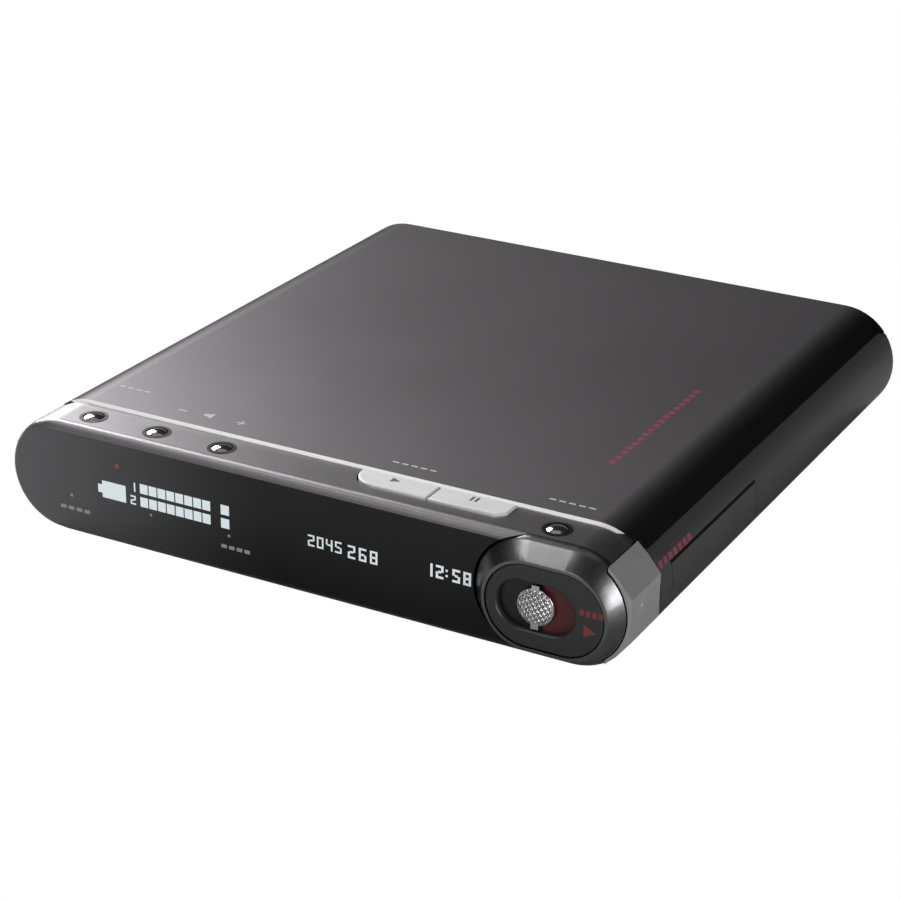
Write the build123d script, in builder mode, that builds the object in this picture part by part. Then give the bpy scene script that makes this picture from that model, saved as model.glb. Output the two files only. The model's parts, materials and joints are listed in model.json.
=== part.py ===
from build123d import *
import math
import os

# Portable minidisc recorder. Millimetres, +Z up, front (display) towards -Y, right side +X.
# The origin is at the bottom of the player, under the centre of its bounding box.

# ---------------------------------------------------------------- driving dimensions
disc_width = 72.0          # the cartridge that the player takes
disc_length = 68.0
disc_thickness = 5.0
disc_clearance = 0.15      # each side of the cartridge in its holder
side_margin = 4.65         # cartridge to the outside of the rounded sides
back_margin = 10.0         # body behind the cartridge's length and the control strip
lid_gap = 1.05             # holder to the inside of the lid
shell_wall = 1.0
lid_wall = 0.8
lid_depth = 2.4            # top of the lid to the seam with the shell
back_round = 0.8
lid_front_chamfer = 0.3
seam_gap = 0.1
fit_gap = 0.05             # between pieces that are seated against each other
bulkhead_wall = 0.6        # between the front electronics and the disc bay

strip_depth = 6.4          # display face to the front edge of the lid
strip_drop = 0.35          # front and its strip inside the body's outline, above and below
strip_overhang = 1.0       # strip behind the bulkhead, over the disc bay
strip_wall = 1.0
window_thickness = 1.1
window_round = 0.9

pod_length = 18.3          # record pod, at its root
pod_lift = 0.55            # pod's root above the bottom of the front
pod_proud = 1.6            # pod face in front of the display face
pod_end_inset = 0.45       # pod to the outside of the body
rim_length = 15.0          # front rim of the pod
rim_height = 10.6
rim_inset = 2.0            # rim to the outside of the body
rim_drop = 0.3             # rim's middle below the middle of the body
rim_round = 0.2
flank_setback = 0.3        # where the pod's flank starts, behind the display face
flank_round = 1.2
pod_split = 8.85           # pod's outer end to where the metal end piece begins
face_border = 0.35
face_thickness = 0.8
face_chamfer = 0.15
slot_length = 9.4
slot_height = 5.8
slot_inset = 1.75          # rim's inner end to the slot
knob_radius = 2.2
knob_chamfer = 0.25
knob_inset = 4.6           # slot's inner end to the knob's centre
knob_bar = (0.9, 0.4)      # bar behind the knob, along X and Y
groove_pitch = 0.5
groove_size = (0.15, 0.18)  # grooves on the knob, deep and wide
rec_travel = 2.4
carriage_lead = 0.6        # carriage hidden behind the slot's inner end
carriage_length = 9.8
carriage_height = 7.4
carriage_thickness = 0.5
carriage_pad = 0.35
carriage_pad_height = 3.8

button_radius = 1.15
button_rise = 0.3
button_travel = 0.3
button_flange = 0.2        # keeps each button under its ring
flange_thickness = 0.3
ring_gap = 0.15
ring_width = 0.4
ring_rise = 0.05
left_button_insets = (9.95, 18.95, 27.95)   # from the left side of the body
right_button_inset = 10.6                   # from the right side
button_lead = 0.25         # buttons in front of the middle of the strip
button_names = ("menu_button", "volume_down_button", "volume_up_button", "mark_button")
key_inset = 16.8           # right key's end from the right side
key_lengths = (9.75, 9.3)  # left key, right key
key_gap = 0.24
key_depth = 3.5
key_rise = 0.3
key_thickness = 1.4
key_round = 3.0            # left key's front corner
key_chamfer = 1.1          # right key's front corner
key_edge = 0.2
key_clearance = 0.15
key_stem = (2.0, 0.9)      # stem under each key, along X and Y
key_stem_setback = 0.7
board_thickness = 0.6
switch_board_inset = 6.15
switch_board_drop = 1.6    # switch board under the strip's inside
tact_size = (2.4, 1.3)
tact_radius = 0.5
tact_rise = 0.1

frame_inset = 7.15         # display frame from the left side
frame_pod_gap = 4.5        # display frame to the record slot
frame_front = 1.15         # display frame behind the window
frame_back = 0.45
frame_rim = 1.5
frame_floor = 0.7
panel_inset = 1.0
flex_width = 12.0
flex_inset = 13.5          # display frame's left end to the ribbon
flex_sheet = 0.2
flex_overlap = 4.0         # ribbon on the main board

slide_length = 7.4         # side slides, along Y
slide_travel = 1.2
slide_gap = 0.15           # side slide to the shell
slide_thickness = 0.4
neck_depth = 0.65          # recess in the sides that the slides run in
neck_wall = 0.55
slide_tab = (2.4, 1.6)     # tab through the wall, along Y and Z
slide_facets = ((53.0, 0.0), (39.0, 5.0), (19.5, 19.5))   # corner angle, and half turn there
foot_height = 3.0          # foot of the tab, inside the wall
foot_thickness = 0.5
foot_gap = 0.4
shoulder_inset = 3.05      # fixed shoulder at each side, beside its slide

hinge_setback = 1.1        # pin axis in from the back
hinge_drop = 1.7           # pin axis below the top of the lid
barrel_radius = 1.1
barrel_gap = 0.3
pin_radius = 0.5
pin_clearance = 0.05
knuckle_inset = 9.65       # inner face of each shell knuckle from the side of the body
knuckle_width = 1.4
ear_width = 0.8
knuckle_gap = 0.2
lid_knuckle_width = 3.6
pin_overlap = 1.2          # pin beyond the shell knuckle, inside the lid's barrel
latch_size = (3.0, 0.3, 1.4)    # tongue on the lid: wide, deep, and below the seam
latch_inset = 10.65
liner_inset = 8.15
liner_gap = 1.0
liner_thickness = 0.33
liner_round = 2.5

holder_sheet = 0.3
holder_flange = 2.8
holder_stop = 1.0
holder_front_gap = 0.45    # holder behind the lid's front edge
holder_lid_gap = 0.2       # holder to the lid's front wall, above and beside
holder_window = (16.0, 26.0)    # windows in the top sheet, along Y
window_edge = 6.0
finger_radius = 9.0
ear_depth = 1.5
spring_size = (2.2, 12.0, 0.2)
spring_inset = 12.0
bay_floor = 7.0            # underside of the holder's flanges

deck_drop = 1.4            # underside of the mechanism deck below the bay floor
deck_thickness = 0.5
deck_inset = 2.65
deck_back_gap = 2.4
deck_round = 2.0
post_inset = 8.05
post_radius = 1.2
post_front_gap = 1.8       # post axis behind the bulkhead
post_back_gap = 4.0        # post axis in front of the back wall
damper_height = 1.0
damper_radius = 1.6
screw_radius = 0.6
screw_head_radius = 1.1
screw_head_height = 0.45
screw_length = 2.1
screw_cross = (1.2, 0.25)
head_clearance = 0.1
spindle_motor_radius = 8.5
spindle_motor_height = 2.1
motor_round = 0.3
spindle_radius = 0.75
turntable_gap = 0.25
turntable_radius = 6.0
turntable_thickness = 0.6
turntable_rim = 1.4
turntable_dish = 0.15
turntable_hole = 0.35
hub_radius = 2.0
hub_rise = 0.35
running_clearance = 0.05

inner_track = 16.0         # lens from the spindle, at rest and fully out
outer_track_inset = 5.5
rail_radius = 0.6
rail_fit = 0.02
rail_spread = 9.5          # each rail from the spindle, along Y
rail_drop = 1.1            # rails below the deck
rail_end_x = -7.8
lug_width = 1.2
lug_depth = 2.6
lead_screw_radius = 0.7
lead_screw_y = 13.0
lead_screw_pitch = 3.0
thread_depth = 0.12
sled_motor_radius = 2.0
sled_motor_length = 11.0
sled_motor_gap = 3.0       # rails' end to the sled motor
motor_socket = 2.0         # lead screw inside its motor
sled_width = 9.0
sled_half_depth = 7.5
sled_drop = 2.4            # sled's underside below the deck
sled_height = 3.4
sled_round = 1.0
sled_arm = (2.2, 2.4)      # height of the arms to the rails, and of the nut
nut_width = 4.0
nut_half = 1.7
lens_radius = 1.9
lens_height = 0.4

jack_bore_radius = 1.75
jack_nose_radius = 2.3
jack_rise = 2.35           # bore axis above the board
jack_body = (9.0, 6.2, 4.6)
jack_nose = 2.0
jack_inset = 2.65          # mouth in from the left side
jack_end_wall = 0.8
jack_names = ("headphone_jack", "microphone_jack", "line_in_jack")
jack_front_insets = (9.5, 17.5)    # from the bulkhead
jack_back_inset = 22.5             # from the back
socket_gap = 0.1
usb_back_inset = 13.5
usb_size = (7.0, 7.6, 3.9)
usb_wall = 0.4
usb_tongue = (6.1, 5.2, 1.1)

door_inset = 28.15         # inner edge of the battery hatch from the right side
door_front = 5.4           # hatch behind the bulkhead
door_length = 24.4
door_height = 9.9
door_gap = 0.1
door_top_gap = 0.4
grip_size = (0.5, 9.0, 0.25)
grip_pitch = 1.2
grip_inset = 11.0
battery_end_gap = 0.8      # battery to each end of its bay
battery_side_gap = 6.75    # battery to the outside of the right side
battery_headroom = 0.4     # battery to the deck
battery_round = 0.6
bay_wall = 0.6
contact_size = (0.5, 3.0, 3.0)
contact_pitch = 6.0
contact_gap = 0.2
board_inset = 9.45
board_front_gap = 3.4
board_back_gap = 1.4
board_wall_gap = 0.3
chips = [(20.0, 20.0, 9.0, 9.0, 1.1), (20.0, 32.0, 7.0, 5.0, 0.9), (6.0, 28.0, 8.0, 8.0, 1.0),
         (24.0, 5.0, 6.0, 8.0, 0.9), (-12.0, 30.0, 6.0, 6.0, 0.9), (2.0, -22.0, 7.0, 9.0, 1.0),
         (-12.0, -20.0, 6.0, 5.0, 0.9)]      # centre, length, depth and height of each

# ---------------------------------------------------------------- places worked out from them
body_width = disc_width + 2 * side_margin
body_depth = strip_depth + disc_length + back_margin
holder_top = bay_floor + holder_sheet + disc_thickness + disc_clearance
body_height = holder_top + holder_sheet + lid_gap + lid_wall
side_radius = body_height / 2
half_width = body_width / 2
x_arc = half_width - side_radius
x_shoulder = half_width - shoulder_inset
mid_height = body_height / 2
parting_height = body_height - lid_depth
y_back = (body_depth + pod_proud) / 2
y_face = y_back - body_depth
y_pod = y_face - pod_proud
y_window_back = y_face + window_thickness
y_lid_front = y_face + strip_depth
y_bulkhead = y_lid_front - strip_overhang
y_hinge = y_back - hinge_setback
hinge_height = body_height - hinge_drop
strip_height = body_height - strip_drop
front_height = body_height - 2 * strip_drop
pod_mid_height = mid_height - rim_drop
lid_inner_height = body_height - lid_wall
deck_height = bay_floor - deck_drop
far = body_width + body_depth


def bar(width, height, z_mid, y, mode=Mode.ADD):
    """A full-round bar: a slot outline across X, run along Y between the two values in y."""
    with BuildSketch(Plane.XZ.offset(-y[1])) as profile:
        with Locations((0, z_mid)):
            SlotOverall(width, height)
    extrude(profile.sketch, amount=y[1] - y[0], mode=mode)


def block(x, y, z, mode=Mode.ADD):
    """A box from its low and high value on each axis."""
    with Locations(((x[0] + x[1]) / 2, (y[0] + y[1]) / 2, (z[0] + z[1]) / 2)):
        Box(x[1] - x[0], y[1] - y[0], z[1] - z[0], mode=mode)


def around(centre, size):
    """Low and high value of a span given by its centre and size."""
    return (centre - size / 2, centre + size / 2)


def rod_x(radius, y, z, x, mode=Mode.ADD):
    """A round rod along X between the two values in x."""
    with Locations(Plane(origin=((x[0] + x[1]) / 2, y, z), z_dir=(1, 0, 0))):
        Cylinder(radius, x[1] - x[0], mode=mode)


def rod_z(radius, x, y, z, mode=Mode.ADD):
    """A round rod along Z between the two values in z."""
    with Locations((x, y, (z[0] + z[1]) / 2)):
        Cylinder(radius, z[1] - z[0], mode=mode)


def slot_plate(x, height, z_mid, y, mode=Mode.ADD):
    """A full-round plate standing across Y, between the values in x and in y."""
    with BuildSketch(Plane.XZ.offset(-y[1])) as profile:
        with Locations(((x[0] + x[1]) / 2, z_mid)):
            SlotOverall(x[1] - x[0], height)
    extrude(profile.sketch, amount=y[1] - y[0], mode=mode)


def side_ring(side, radii, y, mode):
    """A ring round one side of the body (1 right, -1 left), between the radii and the values in y."""
    with BuildPart(mode=Mode.PRIVATE) as ring:
        bar(2 * (x_arc + radii[1]), 2 * radii[1], mid_height, y)
        bar(2 * (x_arc + radii[0]), 2 * radii[0], mid_height, y, Mode.SUBTRACT)
        block((-side * far, side * (x_shoulder - seam_gap))[::side], (-far, far), (-far, far),
              Mode.SUBTRACT)
    add(ring.part, mode=mode)


def save(piece, label):
    piece.part.label = label
    export_step(piece.part, "parts/" + label + ".step")


os.makedirs("parts", exist_ok=True)

# ---------------------------------------------------------------- lower shell
inner_width = body_width - 2 * shell_wall
inner_height = body_height - 2 * shell_wall
y_inner_back = y_back - shell_wall
slide_y = (y_face + seam_gap, y_face + seam_gap + slide_length)    # right slide at rest
slide_fronts = {"open_slide": slide_y[0], "hold_slide": y_window_back + seam_gap}
# the right slide runs forwards and the left one backwards, which needs room behind it
shoulder_backs = {1: slide_y[1] + seam_gap, -1: slide_y[1] + slide_travel + seam_gap}
neck_radius = side_radius - neck_depth
neck_radii = (neck_radius, far)
neck_lining = (neck_radius - neck_wall, neck_radius - seam_gap)
tab_centre_y = sum(slide_y) / 2
tab_slots = {1: (y_face, tab_centre_y + slide_tab[0] / 2 + slide_gap),
             -1: (tab_centre_y - slide_tab[0] / 2 - slide_gap,
                  tab_centre_y + slide_tab[0] / 2 + slide_travel + slide_gap)}
x_foot = x_arc + neck_lining[0] - foot_gap - foot_thickness / 2
posts = [(side * (half_width - post_inset), y) for side in (-1, 1)
         for y in (y_bulkhead + post_front_gap, y_inner_back - post_back_gap)]
post_top = deck_height - damper_height
post_root = shell_wall / 2
knuckle_x = half_width - knuckle_inset
knuckles = [side * (knuckle_x + knuckle_width / 2) for side in (-1, 1)]
fixed_barrel = barrel_radius - seam_gap
swing_radius = barrel_radius + barrel_gap
board_bottom = shell_wall + fit_gap
board_top = board_bottom + board_thickness
jack_mouth_x = jack_inset - half_width
jack_x = (jack_mouth_x + jack_nose, jack_mouth_x + jack_nose + jack_body[0])
jack_height = board_top + jack_rise
jack_ys = [y_bulkhead + inset for inset in jack_front_insets] + [y_back - jack_back_inset]
usb_x = (jack_mouth_x, jack_mouth_x + usb_size[0])
usb_y = y_back - usb_back_inset
usb_z = (board_top, board_top + usb_size[2])
door_x = half_width - door_inset
door_y = (y_bulkhead + door_front, y_bulkhead + door_front + door_length)
bay_y = (door_y[0] - bay_wall, door_y[1] + bay_wall)
battery_x = (door_x + door_gap + contact_size[0] + contact_gap, half_width - battery_side_gap)
battery_y = (door_y[0] + battery_end_gap, door_y[1] - battery_end_gap)
battery_z = (shell_wall + door_gap, deck_height - battery_headroom)
rim_x = (half_width - rim_inset - rim_length, half_width - rim_inset)
frame_x = (frame_inset - half_width, rim_x[0] + slot_inset - frame_pod_gap)
flex_x = (frame_x[0] + flex_inset, frame_x[0] + flex_inset + flex_width)
flex_z = (board_top + fit_gap, board_top + fit_gap + flex_sheet)

with BuildPart() as bottom_shell:
    bar(body_width, body_height, mid_height, (y_window_back, y_back))
    fillet(bottom_shell.faces().sort_by(Axis.Y)[-1].edges(), back_round)
    bar(inner_width, inner_height, mid_height, (y_window_back, y_bulkhead - bulkhead_wall),
        Mode.SUBTRACT)
    bar(inner_width, inner_height, mid_height, (y_bulkhead, y_inner_back), Mode.SUBTRACT)
    # recess in each side for the slide, lined inside so that the wall there keeps its strength
    for side in (-1, 1):
        side_ring(side, neck_lining, (y_window_back, shoulder_backs[side] + neck_wall), Mode.ADD)
        side_ring(side, neck_radii, (y_window_back, shoulder_backs[side]), Mode.SUBTRACT)
    # open top, with a fixed shoulder left at each side, beside the slide there
    block((-x_shoulder, x_shoulder), (-far, far), (parting_height, far), Mode.SUBTRACT)
    for side in (-1, 1):
        block((0, side * far)[::side], (shoulder_backs[side], far), (parting_height, far),
              Mode.SUBTRACT)
    # clear path of the lid's hinge barrel along the back
    rod_x(swing_radius, y_hinge, hinge_height, (-far, far), Mode.SUBTRACT)
    block((-far, far), (y_hinge, far), (hinge_height - swing_radius, far), Mode.SUBTRACT)
    # knuckles that hold the hinge pins
    for x in knuckles:
        rod_x(fixed_barrel, y_hinge, hinge_height, around(x, knuckle_width))
        block(around(x, knuckle_width), (y_hinge - fixed_barrel, y_inner_back),
              (shell_wall, hinge_height))
        rod_x(pin_radius, y_hinge, hinge_height, around(x, knuckle_width), Mode.SUBTRACT)
    # posts for the mechanism, drilled for the screws from above and below
    for x, y in posts:
        rod_z(post_radius, x, y, (post_root, post_top))
        rod_z(screw_radius, x, y, (-far, far), Mode.SUBTRACT)
        rod_z(screw_head_radius + head_clearance, x, y, (-far, screw_head_height + head_clearance),
              Mode.SUBTRACT)
    # slots for the tabs of the side slides, and notches in the bulkhead for their feet
    for side in (-1, 1):
        block(around(side * half_width, 4 * shell_wall), tab_slots[side],
              around(mid_height, slide_tab[1] + 2 * slide_gap), Mode.SUBTRACT)
        block(around(side * x_foot, foot_thickness + 2 * slide_gap),
              (y_bulkhead - bulkhead_wall - seam_gap, y_bulkhead + seam_gap),
              around(mid_height, foot_height + 2 * slide_gap), Mode.SUBTRACT)
    # sockets in the left side
    for y in jack_ys:
        rod_x(jack_nose_radius + socket_gap, y, jack_height, (-far, jack_x[0] + shell_wall),
              Mode.SUBTRACT)
    block((-far, usb_x[1]), around(usb_y, usb_size[1] + 2 * socket_gap),
          (board_bottom + board_thickness - fit_gap, usb_z[1] + socket_gap), Mode.SUBTRACT)
    # battery hatch, from the base up the right side, with the walls of its bay
    block((door_x, far), door_y, (-far, door_height), Mode.SUBTRACT)
    block((door_x - bay_wall, door_x), bay_y, (post_root, battery_z[1]))
    for y in (bay_y[0], door_y[1]):
        block((door_x - bay_wall, battery_x[1]), (y, y + bay_wall), (post_root, battery_z[1]))
    # way through the bulkhead for the display ribbon
    block((flex_x[0] - bay_wall, flex_x[1] + bay_wall),
          (y_bulkhead - bulkhead_wall - seam_gap, y_bulkhead + seam_gap),
          (shell_wall, flex_z[1] + 2 * flex_sheet), Mode.SUBTRACT)
save(bottom_shell, "bottom_shell")

# ---------------------------------------------------------------- battery, its door and contacts
with BuildPart() as battery_door:
    bar(body_width, body_height, mid_height, (door_y[0] + door_gap, door_y[1] - door_gap))
    bar(inner_width, inner_height, mid_height, door_y, Mode.SUBTRACT)
    block((-far, door_x + door_gap), (-far, far), (-far, far), Mode.SUBTRACT)
    block((-far, far), (-far, far), (door_height - door_top_gap, far), Mode.SUBTRACT)
    # grip grooves in the underside
    for i in range(4):
        block(around(half_width - grip_inset + grip_pitch * i, grip_size[0]),
              around(sum(door_y) / 2, grip_size[1]), (-far, grip_size[2]), Mode.SUBTRACT)
save(battery_door, "battery_door")

with BuildPart() as battery:
    block(battery_x, battery_y, battery_z)
    fillet(battery.edges().filter_by(Axis.Y), battery_round)
save(battery, "battery")

contact_x = (door_x + fit_gap, door_x + fit_gap + contact_size[0])
with BuildPart() as battery_contacts:
    for i in (-1, 0, 1):
        block(contact_x, around(sum(battery_y) / 2 + contact_pitch * i, contact_size[1]),
              around(sum(battery_z) / 2, contact_size[2]))
save(battery_contacts, "battery_contacts")

# ---------------------------------------------------------------- circuit boards
board_x = (board_inset - half_width, door_x - bay_wall - board_wall_gap)
board_y = (y_bulkhead + board_front_gap, y_inner_back - board_back_gap)
with BuildPart() as main_board:
    block(board_x, board_y, (board_bottom, board_top))
    block((board_x[0], half_width - board_inset), (bay_y[1] + board_wall_gap, board_y[1]),
          (board_bottom, board_top))
    for x in knuckles:
        block(around(x, knuckle_width + 2 * knuckle_gap), (y_hinge - swing_radius, far),
              (-far, far), Mode.SUBTRACT)
save(main_board, "main_board")

with BuildPart() as board_chips:
    for x, y, length, depth, height in chips:
        block(around(x, length), around(y, depth), (board_top, board_top + height))
save(board_chips, "board_chips")

frame_y = (y_window_back + frame_front, y_bulkhead - bulkhead_wall - frame_back)
frame_top = strip_height - strip_wall - board_thickness - switch_board_drop
frame_z = (board_bottom, frame_top)
ribbon_y = (frame_y[1] + fit_gap, frame_y[1] + fit_gap + flex_sheet)
with BuildPart() as flex_cable:
    block(flex_x, (ribbon_y[0], board_y[0] + flex_overlap), flex_z)
    block(flex_x, ribbon_y, (flex_z[0], frame_top - panel_inset))
save(flex_cable, "flex_cable")

# ---------------------------------------------------------------- front: frame, display, window
with BuildPart() as front_frame:
    block(frame_x, frame_y, frame_z)
    block((frame_x[0] + frame_rim, frame_x[1] - frame_rim), (-far, frame_y[1] - frame_floor),
          (frame_z[0] + frame_rim, frame_z[1] - frame_rim), Mode.SUBTRACT)
save(front_frame, "front_frame")

with BuildPart() as display_panel:
    block((frame_x[0] + panel_inset, frame_x[1] - panel_inset),
          (y_window_back + fit_gap, frame_y[0] - fit_gap),
          (frame_z[0] + panel_inset, frame_z[1] - panel_inset))
save(display_panel, "display_panel")

pod_x = (half_width - pod_end_inset - pod_length, half_width - pod_end_inset)
pod_z = (strip_drop + pod_lift, strip_height)
pod_split_x = pod_x[1] - pod_split
with BuildPart() as display_window:
    bar(body_width, front_height, mid_height, (y_face, y_window_back))
    fillet(display_window.faces().sort_by(Axis.Y)[0].edges(), window_round)
    slot_plate((pod_x[0] - seam_gap / 2, pod_x[1] + seam_gap / 2), pod_z[1] - pod_z[0] + seam_gap,
               sum(pod_z) / 2, (-far, far), Mode.SUBTRACT)
    block((pod_split_x, far), (-far, far), (-far, far), Mode.SUBTRACT)
save(display_window, "display_window")

# ---------------------------------------------------------------- control strip and its buttons
button_xs = [inset - half_width for inset in left_button_insets] + [half_width - right_button_inset]
ring_radius = button_radius + ring_gap + ring_width
button_floor = strip_height - strip_wall - flange_thickness - seam_gap
strip_y = (y_window_back + fit_gap, y_lid_front - seam_gap)
y_button = sum(strip_y) / 2 - button_lead
key_y = (strip_y[1] - fit_gap - key_depth, strip_y[1] - fit_gap)
key_x = (half_width - key_inset - sum(key_lengths) - key_gap, half_width - key_inset)
key_spans = {"play_key": (key_x[0], key_x[0] + key_lengths[0]),
             "pause_key": (key_x[1] - key_lengths[1], key_x[1])}
with BuildPart() as control_strip:
    bar(body_width, front_height, mid_height, strip_y)
    bar(body_width - 2 * strip_wall, front_height - 2 * strip_wall, mid_height,
        (-far, far), Mode.SUBTRACT)
    block((-far, far), (-far, far), (-far, parting_height + seam_gap), Mode.SUBTRACT)
    for side in (-1, 1):
        block((side * (x_shoulder - seam_gap), side * far)[::side], (-far, far), (-far, far),
              Mode.SUBTRACT)
    for x in button_xs:
        rod_z(ring_radius + fit_gap / 2, x, y_button, (0, far), Mode.SUBTRACT)
    with BuildPart(mode=Mode.PRIVATE) as key_room:
        block((key_x[0] - key_clearance, key_x[1] + key_clearance),
              (key_y[0] - key_clearance, strip_y[1] + key_clearance), (0, far))
        corners = key_room.edges().filter_by(Axis.Z).group_by(Axis.Y)[0].sort_by(Axis.X)
        fillet(corners[0], key_round)
        chamfer(key_room.edges().filter_by(Axis.Z).group_by(Axis.Y)[0].sort_by(Axis.X)[-1], key_chamfer)
    add(key_room.part, mode=Mode.SUBTRACT)
save(control_strip, "control_strip")

with BuildPart() as button_rings:
    for x in button_xs:
        rod_z(ring_radius, x, y_button, (strip_height - strip_wall, strip_height + ring_rise))
        rod_z(button_radius + ring_gap, x, y_button, (0, far), Mode.SUBTRACT)
save(button_rings, "button_rings")

plunger_z = (button_floor - flange_thickness, button_floor)
for name, x in zip(button_names, button_xs):
    with BuildPart() as button:
        rod_z(button_radius, x, y_button, (button_floor, strip_height + button_rise))
        fillet(button.faces().sort_by(Axis.Z)[-1].edges(), button_rise)
        rod_z(button_radius + button_flange, x, y_button, plunger_z)
    save(button, name)

switch_y = (y_window_back + key_clearance, y_bulkhead - bulkhead_wall - fit_gap)
y_key_stem = switch_y[1] - key_stem_setback
key_z = (strip_height + key_rise - key_thickness, strip_height + key_rise)
for name, span in key_spans.items():
    with BuildPart() as key:
        block(span, key_y, key_z)
        upright = key.edges().filter_by(Axis.Z).group_by(Axis.Y)[0].sort_by(Axis.X)
        if name == "play_key":
            fillet(upright[0], key_round)
        else:
            chamfer(upright[-1], key_chamfer)
        fillet(key.faces().sort_by(Axis.Z)[-1].edges(), key_edge)
        block(around(sum(span) / 2, key_stem[0]), around(y_key_stem, key_stem[1]),
              (plunger_z[0], key_z[0]))
    save(key, name)

switch_z = (frame_top + fit_gap, frame_top + fit_gap + board_thickness)
tact_top = plunger_z[0] - button_travel - fit_gap
with BuildPart() as switch_board:
    block((switch_board_inset - half_width, half_width - switch_board_inset), switch_y, switch_z)
save(switch_board, "switch_board")

switch_spots = [(x, y_button) for x in button_xs]
switch_spots += [(sum(span) / 2, y_key_stem) for span in key_spans.values()]
with BuildPart() as tact_switches:
    for x, y in switch_spots:
        block(around(x, tact_size[0]), around(y, tact_size[1]), (switch_z[1], tact_top - tact_rise))
        rod_z(tact_radius, x, y, (tact_top - tact_rise, tact_top))
save(tact_switches, "tact_switches")

# ---------------------------------------------------------------- record pod
face_x = (rim_x[0] + face_border, rim_x[1] - face_border)
face_height = rim_height - 2 * face_border
slot_x = (rim_x[0] + slot_inset, rim_x[0] + slot_inset + slot_length)
y_face_back = y_pod + face_thickness
y_flank = y_face + flank_setback
carriage_x = (slot_x[0] - carriage_lead, slot_x[0] - carriage_lead + carriage_length)
carriage_y = (y_face_back + seam_gap, y_face_back + seam_gap + carriage_thickness)
knob_x = slot_x[0] + knob_inset
with BuildPart() as rec_pod:
    # metal end of the front, and the pod standing out of it
    bar(body_width, front_height, mid_height, (y_face, y_window_back))
    fillet(rec_pod.faces().sort_by(Axis.Y)[0].edges(), window_round)
    block((-far, pod_split_x + seam_gap), (-far, far), (-far, far), Mode.SUBTRACT)
    with BuildPart(mode=Mode.PRIVATE) as boss:
        slot_plate(pod_x, pod_z[1] - pod_z[0], sum(pod_z) / 2, (y_flank, y_window_back))
        for outline_x, height, z_mid, y in ((pod_x, pod_z[1] - pod_z[0], sum(pod_z) / 2, y_flank),
                                            (rim_x, rim_height, pod_mid_height, y_pod)):
            with BuildSketch(Plane.XZ.offset(-y)):
                with Locations((sum(outline_x) / 2, z_mid)):
                    SlotOverall(outline_x[1] - outline_x[0], height)
        loft()
        fillet(boss.edges().filter_by_position(Axis.Y, y_flank - fit_gap, y_flank + fit_gap), flank_round)
        fillet(boss.faces().sort_by(Axis.Y)[0].edges(), rim_round)
    add(boss.part)
    side_ring(1, neck_radii, (y_pod, y_window_back), Mode.SUBTRACT)
    slot_plate(face_x, face_height, pod_mid_height, (-far, y_face_back), Mode.SUBTRACT)
    # room behind the face for the carriage and its travel
    slot_plate((carriage_x[0] - slide_gap, carriage_x[1] + rec_travel + slide_gap),
               carriage_height + 2 * slide_gap, pod_mid_height, (y_face_back - seam_gap, far),
               Mode.SUBTRACT)
save(rec_pod, "rec_pod")

with BuildPart() as rec_face:
    slot_plate((face_x[0] + fit_gap, face_x[1] - fit_gap), face_height - 2 * fit_gap,
               pod_mid_height, (y_pod + seam_gap, y_face_back))
    slot_plate(slot_x, slot_height, pod_mid_height, (-far, far), Mode.SUBTRACT)
    chamfer(rec_face.faces().sort_by(Axis.Y)[0].edges(), face_chamfer)
save(rec_face, "rec_face")

with BuildPart() as rec_carriage:
    slot_plate(carriage_x, carriage_height, pod_mid_height, carriage_y)
    # raised pad that carries the knob and shows beside it
    slot_plate((knob_x - knob_radius, slot_x[1] - rec_travel - slide_gap), carriage_pad_height,
               pod_mid_height, (carriage_y[0] - carriage_pad, carriage_y[0]))
save(rec_carriage, "rec_carriage")

knob_y = (y_pod, carriage_y[0] - carriage_pad)
with BuildPart() as rec_knob:
    with BuildSketch(Plane.XZ.offset(-knob_y[1])):
        with Locations((knob_x, pod_mid_height)):
            Circle(knob_radius)
    extrude(amount=knob_y[1] - knob_y[0])
    chamfer(rec_knob.faces().sort_by(Axis.Y)[0].edges(), knob_chamfer)
    block(around(knob_x, knob_bar[0]), (knob_y[1] - knob_bar[1], knob_y[1]),
          around(pod_mid_height, slot_height - 4 * slide_gap))
    # milled grooves across the finger face
    for i in range(-3, 4):
        block(around(knob_x, 3 * knob_radius), (-far, knob_y[0] + groove_size[0]),
              around(pod_mid_height + groove_pitch * i, groove_size[1]), Mode.SUBTRACT)
save(rec_knob, "rec_knob")

with BuildPart() as rec_switch:
    block(slot_x, (carriage_y[1] + seam_gap, frame_y[1]), around(pod_mid_height, 2 * tact_size[0]))
save(rec_switch, "rec_switch")

# ---------------------------------------------------------------- side slides
slide_bore = neck_radius + slide_gap
slide_outer = slide_bore + slide_thickness
facets = []
for angle, half_turn in slide_facets:
    reach = slide_outer / math.cos(math.radians(half_turn))
    facets.append((x_arc + reach * math.cos(math.radians(angle)),
                   mid_height + reach * math.sin(math.radians(angle))))
outline = facets + [(x, 2 * mid_height - z) for x, z in reversed(facets)]
for name, side in (("open_slide", 1), ("hold_slide", -1)):
    with BuildPart() as slide:
        with BuildSketch(Plane.XZ.offset(-slide_y[1])):
            with BuildLine():
                Polyline(*[(side * x, z) for x, z in outline], close=True)
            make_face()
        extrude(amount=slide_y[1] - slide_fronts[name])
        bar(2 * (x_arc + slide_bore), 2 * slide_bore, mid_height, (-far, far), Mode.SUBTRACT)
        # tab through the wall, with a wider foot inside
        tab_x = (side * x_foot, side * (x_arc + slide_bore + slide_thickness / 2))
        block(tab_x[::side], around(tab_centre_y, slide_tab[0]), around(mid_height, slide_tab[1]))
        block(around(side * x_foot, foot_thickness), around(tab_centre_y, slide_tab[0]),
              around(mid_height, foot_height))
    save(slide, name)

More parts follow.
